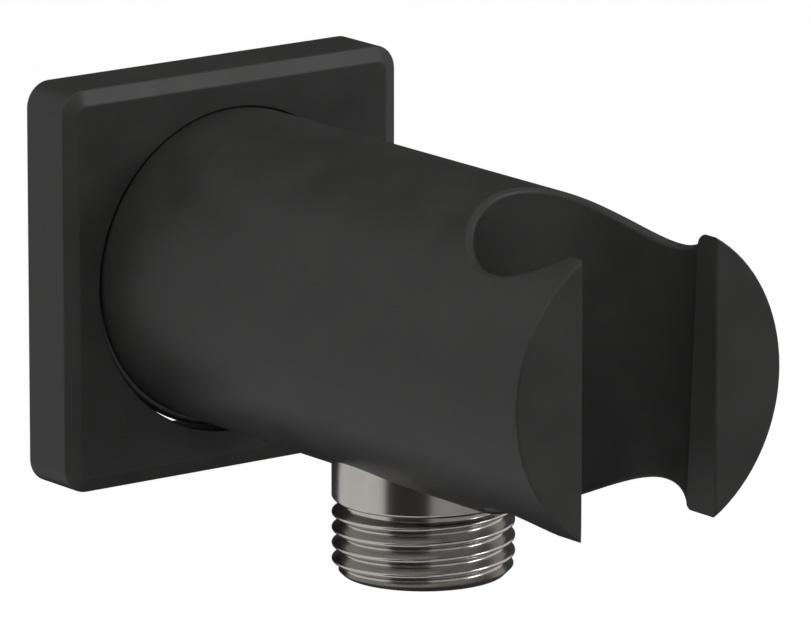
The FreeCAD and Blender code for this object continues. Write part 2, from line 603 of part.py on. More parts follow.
def write_pieces(pieces):
    """Writes each piece to a file named by its label, once all of them are sound."""
    for piece in pieces:
        if piece.Shape.isNull() or not piece.Shape.isValid():
            raise RuntimeError(f"{piece.Label} has no sound shape")
    os.makedirs("parts", exist_ok=True)
    for piece in pieces:
        piece.Shape.exportStep(f"parts/{piece.Label}.step")
        box = piece.Shape.BoundBox
        print(f"{piece.Label:16s} solids {len(piece.Shape.Solids)} volume {piece.Shape.Volume:10.2f}"
              f"  x {box.XMin:7.2f} {box.XMax:7.2f}  y {box.YMin:7.2f} {box.YMax:7.2f}"
              f"  z {box.ZMin:7.2f} {box.ZMax:7.2f}")


nipple_ring_middle = f"{NIPPLE_RING_FLOOR} + Sizes.nipple_ring_section / 2"
inner_end = f"-{BOSS_FACE} - Sizes.inlet_engaged"
inlet_ring_place = f"{inner_end} + Sizes.nipple_ring_setback + {NIPPLE_RING_GROOVE} / 2"
outlet_ring_place = f"-Sizes.outlet_top - Sizes.nipple_ring_setback - {NIPPLE_RING_GROOVE} / 2"
valve_ring_middle = "Sizes.outlet_way / 2 - Sizes.valve_ring_section / 2"
valve_ring_groove = "(Sizes.valve_ring_section + Sizes.groove_slack)"
valve_ring_place = f"-{VALVE_TOP} - Sizes.valve_ring_setback - {valve_ring_groove} / 2"
pieces = [
    make_holder_body(),
    make_wall_plate(),
    make_wall_gasket(),
    make_plate_ring(),
    make_inlet_nipple(),
    make_inlet_washer(),
    make_ring("inlet_ring", nipple_ring_middle, "Sizes.nipple_ring_section", inlet_ring_place, False),
    make_outlet_nipple(),
    make_ring("outlet_ring", nipple_ring_middle, "Sizes.nipple_ring_section", outlet_ring_place, True),
    make_valve_housing(),
    make_ring("valve_ring", valve_ring_middle, "Sizes.valve_ring_section", valve_ring_place, True),
    make_poppet(),
    make_poppet_seal(),
    make_valve_spring(),
    make_valve_guide(),
]
check_document()
write_pieces(pieces)
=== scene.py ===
"""Wall outlet elbow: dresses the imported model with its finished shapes, its finishes and a plain studio."""
import math

import bmesh
import bpy
from bpy.props import FloatProperty, FloatVectorProperty, IntProperty, PointerProperty
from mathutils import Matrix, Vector


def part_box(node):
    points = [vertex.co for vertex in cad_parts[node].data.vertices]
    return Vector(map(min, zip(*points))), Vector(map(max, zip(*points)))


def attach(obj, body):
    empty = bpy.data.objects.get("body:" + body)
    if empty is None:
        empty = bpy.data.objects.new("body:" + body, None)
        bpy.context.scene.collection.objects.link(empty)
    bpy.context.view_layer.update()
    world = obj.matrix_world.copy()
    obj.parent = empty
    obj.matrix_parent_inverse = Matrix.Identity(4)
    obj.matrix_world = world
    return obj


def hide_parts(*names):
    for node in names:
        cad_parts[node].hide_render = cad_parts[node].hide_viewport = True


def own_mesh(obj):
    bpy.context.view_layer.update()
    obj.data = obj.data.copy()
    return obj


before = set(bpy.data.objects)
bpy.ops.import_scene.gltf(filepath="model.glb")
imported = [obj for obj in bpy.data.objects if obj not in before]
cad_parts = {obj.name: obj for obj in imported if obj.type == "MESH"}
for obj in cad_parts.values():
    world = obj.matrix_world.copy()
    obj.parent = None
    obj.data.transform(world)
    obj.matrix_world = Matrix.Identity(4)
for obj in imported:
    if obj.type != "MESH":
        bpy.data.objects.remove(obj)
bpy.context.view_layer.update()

bl_info = {
    "name": "Wall Outlet Elbow",
    "version": (1, 0, 0),
    "blender": (4, 5, 0),
    "location": "View3D > Sidebar > Outlet Elbow",
    "description": "Makes the fork, the wall plate and the threaded nipples, and finishes every piece",
    "category": "Object",
}

# The corners of the solids that the made pieces stand for, in metres
FORK_LOW, FORK_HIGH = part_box("holder_body")
PLATE_LOW, PLATE_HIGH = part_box("wall_plate")
RING_LOW, RING_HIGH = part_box("plate_ring")
HOSE_LOW, HOSE_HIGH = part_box("outlet_nipple")
WALL_LOW, WALL_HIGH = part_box("inlet_nipple")
BODY_RADIUS = (FORK_HIGH.x - FORK_LOW.x) / 2
THREAD_RADIUS = (HOSE_HIGH.x - HOSE_LOW.x) / 2
HOSE_AXIS = (HOSE_LOW + HOSE_HIGH) / 2
RING_DEPTH = RING_HIGH.y - RING_LOW.y

MM = 0.001
TURN = 2 * math.pi
MERGE = 1e-6
SAME = 2e-6
EXACT = 1e-7
UPRIGHT = (0, 0, 1)
INTO_WALL = (0, 1, 0)
THREAD_STEPS = 96
CUTTER_WIDTH = 1.4
RING_STEPS = 8
OVERSHOOT = 1 * MM

# Sizes of the two nipples and the places of their thread crests, in millimetres
NIPPLE_BORE = 5.95
VALVE_BORE = 7.5
SPARE = 0.12
LEAD_IN = 1.27
RUN_OUT = 1.2
SEAL_GROOVE = 1.55
HOSE_CREST = -22.86
WALL_CREST = 1.2

# A camera without shift, pitched down, that comes as near to the photograph's outline as such a camera can
CAMERA_PLACE = (-0.660945, -0.919647, 0.258242)
CAMERA_TURN = (math.radians(76.7903), 0, math.radians(-36.9456))


def length(name, description, default):
    """A size property in metres."""
    return FloatProperty(name=name, description=description, default=default, min=0, precision=5,
                         unit="LENGTH", subtype="DISTANCE")


def tint(name, description, default):
    """A colour property."""
    return FloatVectorProperty(name=name, description=description, default=default, size=3, min=0, max=1,
                               subtype="COLOR")


def share(name, description, default):
    """A property from none to all."""
    return FloatProperty(name=name, description=description, default=default, min=0, max=1,
                         subtype="FACTOR")


class ElbowSizes(bpy.types.PropertyGroup):
    """Sizes of the made pieces."""
    slot_width: length("Slot width", "Width of the slot between the two arms of the fork", 18.7 * MM)
    fork_edge: length("Fork edge", "Rounding along the outline of the two front faces", 0.3 * MM)
    fork_front: length("Fork front", "Depth of the front that is drawn out again", 1 * MM)
    plate_side: length("Plate side", "Width and height of the wall plate", PLATE_HIGH.x - PLATE_LOW.x)
    plate_depth: length("Plate depth", "How far the wall plate stands off the wall",
                        PLATE_HIGH.y - PLATE_LOW.y)
    plate_corner: length("Plate corner", "Radius of the plate's four corners", 3 * MM)
    chamfer_width: length("Chamfer width", "Width of the sloping border of the plate", 1.8 * MM)
    chamfer_depth: length("Chamfer depth", "Depth of the sloping border of the plate", 0.7 * MM)
    plate_edge: length("Plate edge", "Softening of the plate's edges", 0.16 * MM)
    plate_wall: length("Plate wall", "Thickness of the plate's sides and front", 2 * MM)
    plate_hole: length("Plate hole", "Radius of the hole that the body passes through",
                       BODY_RADIUS + 0.6 * MM)
    hole_edge: length("Hole edge", "Rounding of the front edge of that hole", 0.25 * MM)
    collar_wall: length("Collar wall", "Thickness of the collar behind the plate's hole", 1.4 * MM)
    collar_depth: length("Collar depth", "Height of the collar behind the plate's front", 2.4 * MM)
    thread_pitch: length("Thread pitch", "Distance from one thread crest to the next", 1.814 * MM)
    thread_depth: length("Thread depth", "Height of the thread from root to crest", 1.162 * MM)
    thread_round: length("Thread rounding", "Radius of the crests and roots", 0.249 * MM)
    ring_cord: length("Ring cord", "Thickness of the rubber ring that the plate hangs on", 1.7 * MM)
    ring_sag: length("Ring sag", "How far the plate pulls the outside of that ring down", 0.4 * MM)
    turned_edge: length("Turned edge", "Softening of the edges of turned metal", 0.1 * MM)
    key_width: length("Key width", "Hexagon key that fits the nipples", 12 * MM)
    turned_steps: IntProperty(name="Turned steps", description="Faces round a turned piece", default=144,
                              min=24)


class ElbowFinish(bpy.types.PropertyGroup):
    """Colours and gloss of the finishes."""
    black: tint("Satin black", "Coating of the fork and the wall plate", (0.0175, 0.0172, 0.0165))
    black_gloss: share("Black roughness", "Roughness of the satin black coating", 0.42)
    nickel: tint("Nickel", "Plating of the two nipples", (0.4, 0.386, 0.363))
    nickel_gloss: share("Nickel roughness", "Roughness of the nickel plating", 0.2)
    seal: tint("Seal rubber", "Rings and valve face", (0.016, 0.016, 0.017))
    washer: tint("Washer rubber", "Flat washer at the wall", (0.05, 0.048, 0.046))
    foam: tint("Foam", "Gasket behind the wall plate", (0.075, 0.076, 0.08))
    plastic: tint("Valve plastic", "Housing, poppet and guide of the valve", (0.78, 0.77, 0.73))
    spring: tint("Spring steel", "Valve spring", (0.60, 0.58, 0.56))


class ElbowStage(bpy.types.PropertyGroup):
    """Lights, floor and camera."""
    key_power: FloatProperty(name="Key light", description="Power of the light at the upper left",
                             default=9, min=0, unit="POWER")
    top_power: FloatProperty(name="Top light", description="Power of the light overhead", default=2,
                             min=0, unit="POWER")
    fill_power: FloatProperty(name="Fill light", description="Power of the light at the right", default=7,
                              min=0, unit="POWER")
    room: share("Room", "Level of the even light from all round", 0.62)
    floor_drop: length("Floor drop", "How far the floor lies below the elbow's axis", 0.35)
    lens: FloatProperty(name="Lens", description="Focal length in millimetres", default=441.358, min=1)


# Working on meshes as by hand


def clear_selection():
    """Leaves edit mode and selects nothing."""
    if bpy.context.object and bpy.context.object.mode != "OBJECT":
        bpy.ops.object.mode_set(mode="OBJECT")
    bpy.ops.object.select_all(action="DESELECT")


def take(piece):
    """Makes a piece the only selected one, and the active one."""
    clear_selection()
    piece.select_set(True)
    bpy.context.view_layer.objects.active = piece


def open_mesh(piece):
    """Goes into edit mode on a piece with all of it selected."""
    take(piece)
    bpy.ops.object.mode_set(mode="EDIT")
    bpy.ops.mesh.select_all(action="SELECT")


def close_mesh():
    """Leaves edit mode."""
    bpy.ops.object.mode_set(mode="OBJECT")


def pick(piece, kind, wanted):
    """Selects the vertices, edges or faces that pass a test, in edit mode."""
    bpy.ops.mesh.select_mode(type=kind)
    bpy.ops.mesh.select_all(action="DESELECT")
    mesh = bmesh.from_edit_mesh(piece.data)
    parts = {"VERT": mesh.verts, "EDGE": mesh.edges, "FACE": mesh.faces}[kind]
    found = [part for part in parts if wanted(part)]
    for part in found:
        part.select_set(True)
    mesh.select_flush_mode()
    bmesh.update_edit_mesh(piece.data)
    if not found:
        raise RuntimeError(f"nothing to select on {piece.name}")


def on_level(part, axis, place):
    """True if every corner of an edge or face lies at a place along an axis."""
    return all(abs(corner.co[axis] - place) < SAME for corner in part.verts)


def draw_in(piece, place, reach):
    """Gathers the points of a cut face near one of its corners into that corner, in edit mode."""
    pick(piece, "VERT",
         lambda point: abs(point.co.y - place.y) < SAME and (point.co - place).length < reach)
    bpy.ops.transform.resize(value=(0, 0, 0), orient_type="GLOBAL", center_override=place)
    bpy.ops.mesh.remove_doubles(threshold=MERGE)


def merge_and_face_out():
    """Merges doubled vertices and turns the normals outwards, in edit mode."""
    bpy.ops.mesh.select_all(action="SELECT")
    bpy.ops.mesh.remove_doubles(threshold=MERGE)
    bpy.ops.mesh.normals_make_consistent(inside=False)


def apply_modifier(piece, name, kind, **settings):
    """Adds a modifier with these settings and applies it."""
    take(piece)
    modifier = piece.modifiers.new(name, kind)
    for key, value in settings.items():
        setattr(modifier, key, value)
    bpy.ops.object.modifier_apply(modifier=modifier.name)


def cut_away(piece, cutter, operation="DIFFERENCE"):
    """Cuts one mesh with another, or joins them, and removes the second."""
    apply_modifier(piece, "cut", "BOOLEAN", object=cutter, operation=operation, solver="EXACT")
    bpy.data.objects.remove(cutter, do_unlink=True)


def settle_shading(piece, angle=30):
    """Smooths the curved faces up to an angle and keeps the flat ones flat."""
    take(piece)
    bpy.ops.object.shade_smooth_by_angle(angle=math.radians(angle))
    apply_modifier(piece, "normals", "WEIGHTED_NORMAL", mode="FACE_AREA", weight=100, keep_sharp=True)


def apply_place(piece):
    """Moves a piece's place, turn and size into its mesh."""
    take(piece)
    bpy.ops.object.transform_apply(location=True, rotation=True, scale=True)


def check_closed(piece):
    """Stops if a made piece isn't a closed shell."""
    mesh = bmesh.new()
    mesh.from_mesh(piece.data)
    loose = sum(not edge.is_manifold for edge in mesh.edges)
    mesh.free()
    if loose:
        raise RuntimeError(f"{piece.name} has {loose} open or doubled edges")


def hand_over(piece, node):
    """Lets a finished piece ride on the fitting in place of a solid."""
    check_closed(piece)
    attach(piece, "fitting")
    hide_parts(node)
    clear_selection()


def add_drum(name, radius, start, end, centre, axis=INTO_WALL, faces=144):
    """Adds a cylinder between two places along the wall's or the hose's axis."""
    middle = Vector(centre) + Vector(axis) * ((start + end) / 2 - Vector(centre).dot(axis))
    turn = (math.pi / 2, 0, 0) if axis == INTO_WALL else (0, 0, 0)
    clear_selection()
    bpy.ops.mesh.primitive_cylinder_add(vertices=faces, radius=radius, depth=abs(end - start),
                                        end_fill_type="NGON", location=middle, rotation=turn)
    drum = bpy.context.object
    drum.name = name
    apply_place(drum)
    return drum


def draw_outline(name, corners):
    """Draws a chain of edges from corner to corner, starting from one corner of a plane."""
    clear_selection()
    bpy.ops.mesh.primitive_plane_add(size=MM)
    piece = bpy.context.object
    piece.name = name
    open_mesh(piece)
    pick(piece, "VERT", lambda corner: corner.index > 0)
    bpy.ops.mesh.delete(type="VERT")
    bpy.ops.mesh.select_all(action="SELECT")
    start = bmesh.from_edit_mesh(piece.data).verts[:][0].co.copy()
    bpy.ops.transform.translate(value=Vector(corners[0]) - start)
    for here, there in zip(corners, corners[1:]):
        bpy.ops.mesh.extrude_vertices_move(TRANSFORM_OT_translate={"value": Vector(there) - Vector(here)})
    return piece


def turn_blank(name, corners, steps, softening):
    """Turns a blank about the upright axis through the origin from the corners of its section, in mm."""
    section = [(radius * MM, 0, height * MM) for radius, height in corners]
    blank = draw_outline(name, section + section[:1])
    bpy.ops.mesh.select_all(action="SELECT")
    bpy.ops.mesh.remove_doubles(threshold=MERGE)
    bpy.ops.mesh.select_all(action="SELECT")
    bpy.ops.mesh.spin(steps=steps, angle=TURN, center=(0, 0, 0), axis=UPRIGHT)
    merge_and_face_out()
    close_mesh()
    apply_modifier(blank, "soft edges", "BEVEL", width=softening, segments=2, limit_method="ANGLE",
                   angle_limit=math.radians(40))
    return blank


def thread_section(pitch, depth, rounding, crest_radius):
    """Corners of one pitch of a pipe thread, from crest to crest: two flanks, round crest and root."""
    half_angle = math.radians(27.5)
    reach = math.pi / 2 - half_angle
    arc = [reach * step / 4 for step in range(5)]
    root_radius = crest_radius - depth
    crest_start = [(crest_radius - rounding * (1 - math.cos(a)), rounding * math.sin(a)) for a in arc]
    root = [(root_radius + rounding * (1 - math.cos(a)), pitch / 2 - rounding * math.sin(a))
            for a in reversed(arc)]
    first_half = crest_start + root
    second_half = [(radius, pitch - height) for radius, height in reversed(first_half[:-1])]
    return first_half + second_half


def thread_cutter(sizes, crest_place, low, high):
    """A closed ring whose inner wall is the thread: the space that the cutting tool leaves outside it."""
    section = thread_section(sizes.thread_pitch, sizes.thread_depth, sizes.thread_round, THREAD_RADIUS)
    turns = math.ceil((high - low) / sizes.thread_pitch) + 3
    start = crest_place - math.ceil((crest_place - low) / sizes.thread_pitch + 1) * sizes.thread_pitch
    cutter = draw_outline("thread_cutter", [(radius, 0, start + height) for radius, height in section])
    close_mesh()
    apply_modifier(cutter, "winding", "SCREW", axis="Z", angle=TURN, screw_offset=sizes.thread_pitch,
                   iterations=turns, steps=THREAD_STEPS, render_steps=THREAD_STEPS,
                   use_merge_vertices=True, merge_threshold=MERGE)
    open_mesh(cutter)
    bpy.ops.mesh.remove_doubles(threshold=MERGE)
    for place, facing in ((low, -1), (high, 1)):
        bpy.ops.mesh.select_all(action="SELECT")
        bpy.ops.mesh.bisect(plane_co=(0, 0, place), plane_no=(0, 0, facing), clear_outer=True,
                            threshold=EXACT)
    for place in (low, high):
        pick(cutter, "EDGE", lambda edge: edge.is_boundary and on_level(edge, 2, place))
        bpy.ops.mesh.extrude_region_move()
        bpy.ops.transform.resize(value=(CUTTER_WIDTH, CUTTER_WIDTH, 1), orient_type="GLOBAL",
                                 center_override=(0, 0, place))
    pick(cutter, "EDGE", lambda edge: edge.is_boundary)
    bpy.ops.mesh.bridge_edge_loops()
    merge_and_face_out()
    close_mesh()
    check_closed(cutter)
    return cutter


def drill_key(nipple, sizes, start, end):
    """Sinks the hexagon for the key, with two of its flats square to X."""
    corner_radius = sizes.key_width / 2 / math.cos(math.pi / 6)
    key = add_drum("key", corner_radius, start, end, (0, 0, 0), UPRIGHT, 6)
    cut_away(nipple, key)


# Finishes


def add_node(tree, kind, place, inputs=None, **settings):
    """Adds a node at a place in the tree, with its settings and input values."""
    node = tree.nodes.new(kind)
    node.location = place
    for key, value in settings.items():
        setattr(node, key, value)
    for key, value in (inputs or {}).items():
        node.inputs[key].default_value = value
    return node


def join(tree, *pairs):
    """Links outputs to inputs, each pair being (output, input)."""
    for output, entry in pairs:
        tree.links.new(output, entry)


def new_group(name, inputs, outputs):
    """Starts a shader node group with named inputs and outputs."""
    group = bpy.data.node_groups.new(name, "ShaderNodeTree")
    for label, kind, default in inputs:
        socket = group.interface.new_socket(name=label, in_out="INPUT", socket_type=kind)
        if default is not None:
            socket.default_value = default
    for label in outputs:
        group.interface.new_socket(name=label, in_out="OUTPUT", socket_type="NodeSocketFloat")
    entry = add_node(group, "NodeGroupInput", (-900, 0))
    result = add_node(group, "NodeGroupOutput", (700, 0))
    return group, entry, result


def make_grain_group():
    """Fine grain of a coating, moulding or rubber, with a slow mottle, both from 0 to 1."""
    group, entry, result = new_group(
        "Fine Grain",
        [("Vector", "NodeSocketVector", None), ("Grain Scale", "NodeSocketFloat", 4000.0),
         ("Mottle Scale", "NodeSocketFloat", 120.0)],
        ["Grain", "Mottle"])
    grain = add_node(group, "ShaderNodeTexNoise", (-500, 200), {"Detail": 3.0, "Roughness": 0.6})
    mottle = add_node(group, "ShaderNodeTexNoise", (-500, -200), {"Detail": 4.0, "Roughness": 0.55})
    spread = add_node(group, "ShaderNodeMapRange", (-100, -200),
                      {"From Min": 0.32, "From Max": 0.68, "To Min": 0.0, "To Max": 1.0})
    join(group, (entry.outputs["Vector"], grain.inputs["Vector"]),
         (entry.outputs["Vector"], mottle.inputs["Vector"]),
         (entry.outputs["Grain Scale"], grain.inputs["Scale"]),
         (entry.outputs["Mottle Scale"], mottle.inputs["Scale"]),
         (grain.outputs["Fac"], result.inputs["Grain"]), (mottle.outputs["Fac"], spread.inputs["Value"]),
         (spread.outputs["Result"], result.inputs["Mottle"]))
    return group


def make_turning_group():
    """Fine rings left by a lathe tool along an axis, broken up a little, from 0 to 1."""
    group, entry, result = new_group(
        "Turning Marks",
        [("Vector", "NodeSocketVector", None), ("Axis", "NodeSocketVector", (0.0, 0.0, 1.0)),
         ("Spacing", "NodeSocketFloat", 0.00016)],
        ["Marks"])
    along = add_node(group, "ShaderNodeVectorMath", (-650, 200), operation="DOT_PRODUCT")
    count = add_node(group, "ShaderNodeMath", (-450, 200), operation="DIVIDE")
    waver = add_node(group, "ShaderNodeTexNoise", (-650, -150), {"Scale": 260.0, "Detail": 2.0})
    shift = add_node(group, "ShaderNodeMath", (-250, 100), operation="ADD")
    rings = add_node(group, "ShaderNodeTexNoise", (-50, 100),
                     {"Scale": 1.7, "Detail": 3.0, "Roughness": 0.7}, noise_dimensions="1D")
    join(group, (entry.outputs["Vector"], along.inputs[0]), (entry.outputs["Axis"], along.inputs[1]),
         (along.outputs["Value"], count.inputs[0]), (entry.outputs["Spacing"], count.inputs[1]),
         (entry.outputs["Vector"], waver.inputs["Vector"]), (count.outputs["Value"], shift.inputs[0]),
         (waver.outputs["Fac"], shift.inputs[1]), (shift.outputs["Value"], rings.inputs["W"]),
         (rings.outputs["Fac"], result.inputs["Marks"]))
    return group


def make_dust_group():
    """Sparse specks of dust, from 0 to 1."""
    group, entry, result = new_group(
        "Dust Specks",
        [("Vector", "NodeSocketVector", None), ("Scale", "NodeSocketFloat", 700.0),
         ("Amount", "NodeSocketFloat", 0.5)],
        ["Specks"])
    cells = add_node(group, "ShaderNodeTexVoronoi", (-600, 200), {"Randomness": 1.0})
    patches = add_node(group, "ShaderNodeTexNoise", (-600, -150), {"Scale": 90.0, "Detail": 3.0})
    size = add_node(group, "ShaderNodeMath", (-380, -150), operation="MULTIPLY")
    near = add_node(group, "ShaderNodeMath", (-150, 150), {1: 0.11}, operation="MULTIPLY")
    speck = add_node(group, "ShaderNodeMath", (50, 100), operation="LESS_THAN")
    join(group, (entry.outputs["Vector"], cells.inputs["Vector"]),
         (entry.outputs["Scale"], cells.inputs["Scale"]),
         (entry.outputs["Vector"], patches.inputs["Vector"]), (patches.outputs["Fac"], size.inputs[0]),
         (entry.outputs["Amount"], size.inputs[1]), (size.outputs["Value"], near.inputs[0]),
         (cells.outputs["Distance"], speck.inputs[0]), (near.outputs["Value"], speck.inputs[1]),
         (speck.outputs["Value"], result.inputs["Specks"]))
    return group


GROUP_MAKERS = {"Fine Grain": make_grain_group, "Turning Marks": make_turning_group,
                "Dust Specks": make_dust_group}


def effect(tree, name, place, inputs):
    """Places one of the shared effects in a material, with its own values."""
    group = bpy.data.node_groups.get(name) or GROUP_MAKERS[name]()
    node = add_node(tree, "ShaderNodeGroup", place, node_tree=group)
    for key, value in inputs.items():
        node.inputs[key].default_value = value
    return node


def start_material(name):
    """A material with its shader and the object's own coordinates."""
    material = bpy.data.materials.new(name)
    material.use_nodes = True
    tree = material.node_tree
    shader = tree.nodes["Principled BSDF"]
    where = add_node(tree, "ShaderNodeTexCoord", (-1100, 0))
    return material, tree, shader, where.outputs["Object"]


def two_tone(tree, shader, mask, first, second):
    """Mixes the base colour between two tones by a mask."""
    mix = add_node(tree, "ShaderNodeMix", (-350, 300), data_type="RGBA")
    mix.inputs["A"].default_value = (*first, 1)
    mix.inputs["B"].default_value = (*second, 1)
    join(tree, (mask, mix.inputs["Factor"]), (mix.outputs["Result"], shader.inputs["Base Color"]))
    return mix


def vary_roughness(tree, shader, mask, low, high):
    """Varies the roughness between two values by a mask."""
    spread = add_node(tree, "ShaderNodeMapRange", (-350, 50), {"To Min": low, "To Max": high})
    join(tree, (mask, spread.inputs["Value"]), (spread.outputs["Result"], shader.inputs["Roughness"]))


def raise_bumps(tree, shader, height, depth, strength):
    """Raises fine bumps of a depth in metres."""
    bump = add_node(tree, "ShaderNodeBump", (-350, -250), {"Strength": strength, "Distance": depth})
    join(tree, (height, bump.inputs["Height"]), (bump.outputs["Normal"], shader.inputs["Normal"]))


def scaled(colour, factor):
    """A colour made lighter or darker."""
    return tuple(min(1, part * factor) for part in colour)


def make_satin_black(finish):
    """Satin black coating: fine sprayed grain, slightly uneven gloss, a few specks of dust."""
    material, tree, shader, where = start_material("satin_coating")
    shader.inputs["Specular IOR Level"].default_value = 0.15
    grain = effect(tree, "Fine Grain", (-800, 100), {"Grain Scale": 5200.0, "Mottle Scale": 150.0})
    dust = effect(tree, "Dust Specks", (-800, -250), {"Scale": 620.0, "Amount": 0.35})
    join(tree, (where, grain.inputs["Vector"]), (where, dust.inputs["Vector"]))
    tone = two_tone(tree, shader, grain.outputs["Mottle"], scaled(finish.black, 0.9),
                    scaled(finish.black, 1.12))
    dusty = add_node(tree, "ShaderNodeMix", (-120, 300), data_type="RGBA")
    dusty.inputs["B"].default_value = (*scaled(finish.black, 2.6), 1)
    join(tree, (dust.outputs["Specks"], dusty.inputs["Factor"]),
         (tone.outputs["Result"], dusty.inputs["A"]),
         (dusty.outputs["Result"], shader.inputs["Base Color"]))
    vary_roughness(tree, shader, grain.outputs["Mottle"], finish.black_gloss - 0.03,
                   finish.black_gloss + 0.04)
    raise_bumps(tree, shader, grain.outputs["Grain"], 0.012 * MM, 0.35)
    return material


def make_nickel(finish, name, axis):
    """Nickel-plated turned brass: warm grey metal with fine tool rings under the plating."""
    material, tree, shader, where = start_material(name)
    shader.inputs["Metallic"].default_value = 1
    grain = effect(tree, "Fine Grain", (-800, 150), {"Grain Scale": 900.0, "Mottle Scale": 210.0})
    marks = effect(tree, "Turning Marks", (-800, -200), {"Axis": axis, "Spacing": 0.14 * MM})
    join(tree, (where, grain.inputs["Vector"]), (where, marks.inputs["Vector"]))
    two_tone(tree, shader, grain.outputs["Mottle"], scaled(finish.nickel, 0.93),
             scaled(finish.nickel, 1.04))
    vary_roughness(tree, shader, marks.outputs["Marks"], finish.nickel_gloss - 0.05,
                   finish.nickel_gloss + 0.08)
    raise_bumps(tree, shader, marks.outputs["Marks"], 0.01 * MM, 0.35)
    return material


def make_seal_rubber(finish):
    """Black seal rubber: dull, with a fine moulded grain and a trace of grease."""
    material, tree, shader, where = start_material("ring_rubber")
    grain = effect(tree, "Fine Grain", (-800, 100), {"Grain Scale": 3000.0, "Mottle Scale": 260.0})
    join(tree, (where, grain.inputs["Vector"]))
    two_tone(tree, shader, grain.outputs["Mottle"], scaled(finish.seal, 0.8), scaled(finish.seal, 1.5))
    vary_roughness(tree, shader, grain.outputs["Mottle"], 0.38, 0.62)
    raise_bumps(tree, shader, grain.outputs["Grain"], 0.02 * MM, 0.4)
    return material


def make_washer_rubber(finish):
    """Punched sheet rubber: matt, chalky, with specks of filler."""
    material, tree, shader, where = start_material("sheet_rubber")
    grain = effect(tree, "Fine Grain", (-800, 100), {"Grain Scale": 2400.0, "Mottle Scale": 180.0})
    dust = effect(tree, "Dust Specks", (-800, -250), {"Scale": 1400.0, "Amount": 1.6})
    join(tree, (where, grain.inputs["Vector"]), (where, dust.inputs["Vector"]))
    two_tone(tree, shader, dust.outputs["Specks"], finish.washer, scaled(finish.washer, 2.2))
    vary_roughness(tree, shader, grain.outputs["Mottle"], 0.6, 0.8)
    raise_bumps(tree, shader, grain.outputs["Grain"], 0.03 * MM, 0.5)
    return material


def make_foam(finish):
    """Closed-cell foam: small domed cells, with painted shade darkening the sunken walls between them."""
    material, tree, shader, where = start_material("foam_cells")
    cells = add_node(tree, "ShaderNodeTexVoronoi", (-800, 100), {"Scale": 2600.0, "Randomness": 1.0})
    hollow_depth_and_shade = add_node(tree, "ShaderNodeMapRange", (-580, 100), {"From Min": 0.1, "From Max": 0.75})
    grain = effect(tree, "Fine Grain", (-800, -250), {"Grain Scale": 5000.0, "Mottle Scale": 200.0})
    join(tree, (where, cells.inputs["Vector"]), (where, grain.inputs["Vector"]),
         (cells.outputs["Distance"], hollow_depth_and_shade.inputs["Value"]))
    # Painted shade: the colour darkens towards the sunken walls between the cells, the same places that the
    # bump below sinks.
    two_tone(tree, shader, hollow_depth_and_shade.outputs["Result"], scaled(finish.foam, 1.25), scaled(finish.foam, 0.45))
    vary_roughness(tree, shader, grain.outputs["Mottle"], 0.8, 0.92)
    raise_bumps(tree, shader, hollow_depth_and_shade.outputs["Result"], -0.12 * MM, 0.8)
    return material


def make_valve_plastic(finish):
    """Natural moulded plastic: milky, with a soft sheen and faint flow marks."""
    material, tree, shader, where = start_material("moulded_plastic")
    shader.inputs["Subsurface Weight"].default_value = 0.15
    shader.inputs["Subsurface Scale"].default_value = 0.6 * MM
    grain = effect(tree, "Fine Grain", (-800, 100), {"Grain Scale": 1800.0, "Mottle Scale": 190.0})
    join(tree, (where, grain.inputs["Vector"]))
    two_tone(tree, shader, grain.outputs["Mottle"], scaled(finish.plastic, 0.94),
             scaled(finish.plastic, 1.03))
    vary_roughness(tree, shader, grain.outputs["Mottle"], 0.3, 0.42)
    raise_bumps(tree, shader, grain.outputs["Grain"], 0.012 * MM, 0.3)
    return material


def make_spring_steel(finish):
    """Drawn steel wire: bright, with fine die lines."""
    material, tree, shader, where = start_material("spring_wire")
    shader.inputs["Metallic"].default_value = 1
    grain = effect(tree, "Fine Grain", (-800, 100), {"Grain Scale": 6000.0, "Mottle Scale": 500.0})
    join(tree, (where, grain.inputs["Vector"]))
    two_tone(tree, shader, grain.outputs["Mottle"], scaled(finish.spring, 0.85),
             scaled(finish.spring, 1.05))
    vary_roughness(tree, shader, grain.outputs["Mottle"], 0.2, 0.32)
    raise_bumps(tree, shader, grain.outputs["Grain"], 0.008 * MM, 0.3)
    return material


def coat(piece, material):
    """Gives a made piece its material."""
    piece.data.materials.clear()
    piece.data.materials.append(material)


def coat_nodes(names, material):
    """Gives carried-over solids a material in the slots that they already have."""
    for name in names:
        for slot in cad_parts[name].material_slots:
            slot.material = material


def named_material(name, maker, *values):
    """A material by name, made the first time that it is asked for."""
    return bpy.data.materials.get(name) or maker(*values)


# One operator for each piece or group of pieces


def copy_solid(node, name):
    """Copies a solid's mesh as the start of a new piece, and merges its loose triangles."""
    clear_selection()
    piece = bpy.data.objects.new(name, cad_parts[node].data.copy())
    bpy.context.scene.collection.objects.link(piece)
    open_mesh(piece)
    bpy.ops.mesh.remove_doubles(threshold=MERGE)
    close_mesh()
    if piece.data.has_custom_normals:
        bpy.ops.mesh.customdata_custom_splitnormals_clear()
    return piece


